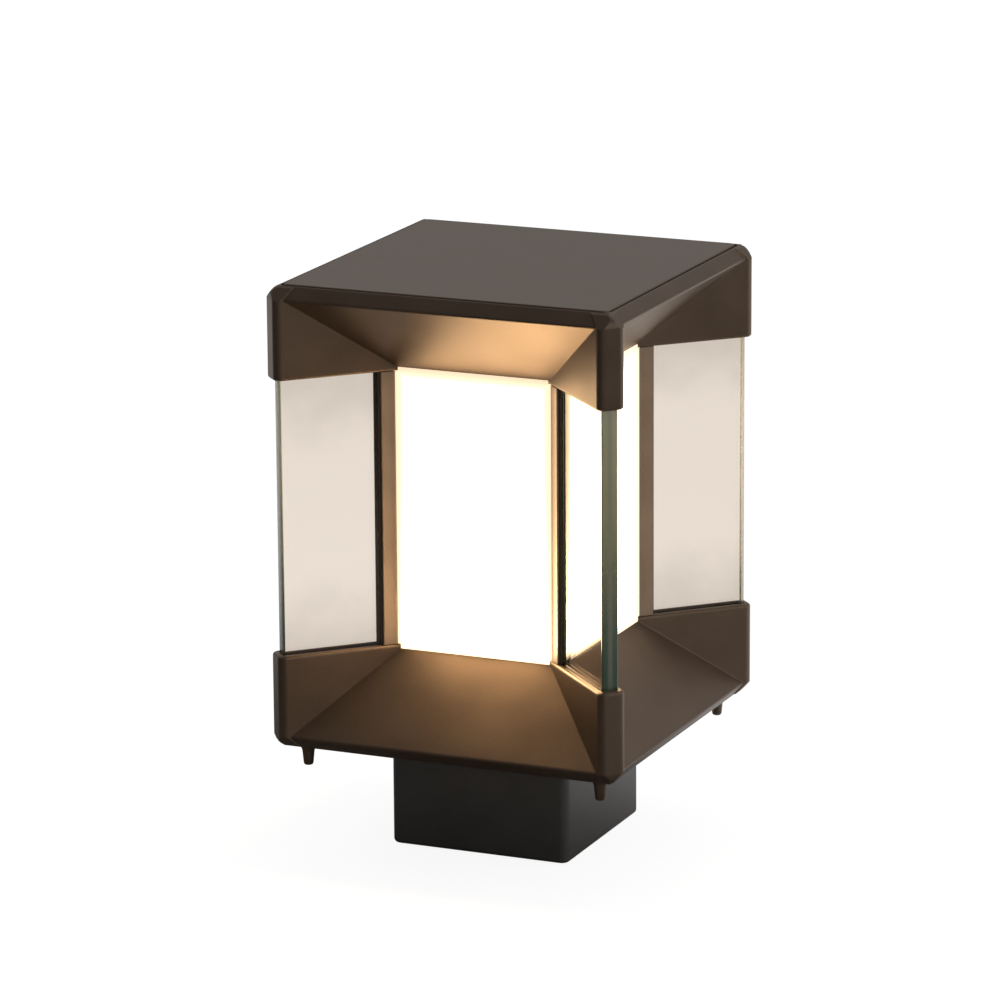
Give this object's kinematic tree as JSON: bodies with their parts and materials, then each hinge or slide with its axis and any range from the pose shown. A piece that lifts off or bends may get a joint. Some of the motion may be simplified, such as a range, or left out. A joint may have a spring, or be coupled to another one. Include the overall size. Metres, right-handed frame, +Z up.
{
  "type": "path light",
  "caption": "Square lantern-head path light: bronze cap and base, glass fins on the diagonals, lit opal core, short square stem to bolt down.",
  "frame": {"origin": "middle of the stem's foot, on the surface that the light stands on", "axes": "+Z up, -Y towards the front, +X to the right seen from the front"},
  "size_m": [0.2034, 0.2034, 0.3174],
  "materials": {
    "bronze_coat": "fine-textured dark bronze powder coat on die-cast aluminium",
    "post_coat": "smooth bronze powder coat on extruded aluminium",
    "stem_coat": "satin black powder coat",
    "clear_glass": "clear toughened glass with ground edges",
    "opal_panel": "opal acrylic, lit from behind",
    "black_rubber": "matt black silicone rubber",
    "zinc_steel": "zinc-plated or stainless steel",
    "plate_steel": "hot-dip galvanised plate",
    "bare_aluminium": "mill-finish extrusion",
    "brass": "plain turned brass",
    "board_white": "white solder mask",
    "led_phosphor": "warm white phosphor under clear resin",
    "gear_plastic": "white moulded plastic",
    "lead_sheath": "black flexible sheath",
    "gland_plastic": "black moulded nylon"
  },
  "bodies": {
    "lantern": {"base_casting": "bronze_coat", "board_screws": "zinc_steel", "bottom_gasket": "black_rubber", "bottom_plate": "bronze_coat", "cap_casting": "bronze_coat", "column_screws": "zinc_steel", "corner_feet": "bronze_coat", "corner_post_back_left": "post_coat", "corner_post_back_right": "post_coat", "corner_post_front_left": "post_coat", "corner_post_front_right": "post_coat", "cover_gasket": "black_rubber", "diffuser_back": "opal_panel", "diffuser_front": "opal_panel", "diffuser_left": "opal_panel", "diffuser_right": "opal_panel", "driver_screws": "zinc_steel", "earth_screw": "brass", "gear_tray": "zinc_steel", "gland_body": "gland_plastic", "gland_bush": "black_rubber", "gland_dome_nut": "gland_plastic", "gland_locknut": "gland_plastic", "glass_gasket_back_left": "black_rubber", "glass_gasket_back_right": "black_rubber", "glass_gasket_front_left": "black_rubber", "glass_gasket_front_right": "black_rubber", "glass_pane_back_left": "clear_glass", "glass_pane_back_right": "clear_glass", "glass_pane_front_left": "clear_glass", "glass_pane_front_right": "clear_glass", "glass_setting_pads": "black_rubber", "led_board_back": "board_white", "led_board_front": "board_white", "led_board_left": "board_white", "led_board_right": "board_white", "led_column": "bare_aluminium", "led_driver": "gear_plastic", "led_lead": "lead_sheath", "led_packages": "led_phosphor", "lower_diffuser_seals": "black_rubber", "mounting_plate": "plate_steel", "mounting_tabs": "plate_steel", "post_screws": "zinc_steel", "stem": "stem_coat", "stem_bolts": "zinc_steel", "stem_head_plate": "stem_coat", "stem_nuts": "zinc_steel", "stem_side_screws": "zinc_steel", "supply_lead": "lead_sheath", "terminal_block": "gear_plastic", "terminal_clamp_screws": "brass", "tray_pillars": "zinc_steel", "tray_screws": "zinc_steel", "upper_diffuser_seals": "black_rubber"},
    "cover": {"top_cover": "bronze_coat", "cover_clips": "zinc_steel", "clip_rivets": "zinc_steel"}
  },
  "joints": [
    {"name": "cover_lift", "type": "slide", "parent": "lantern", "child": "cover", "axis": [0, 0, 1], "range_m": [0, 0.06]}
  ]
}
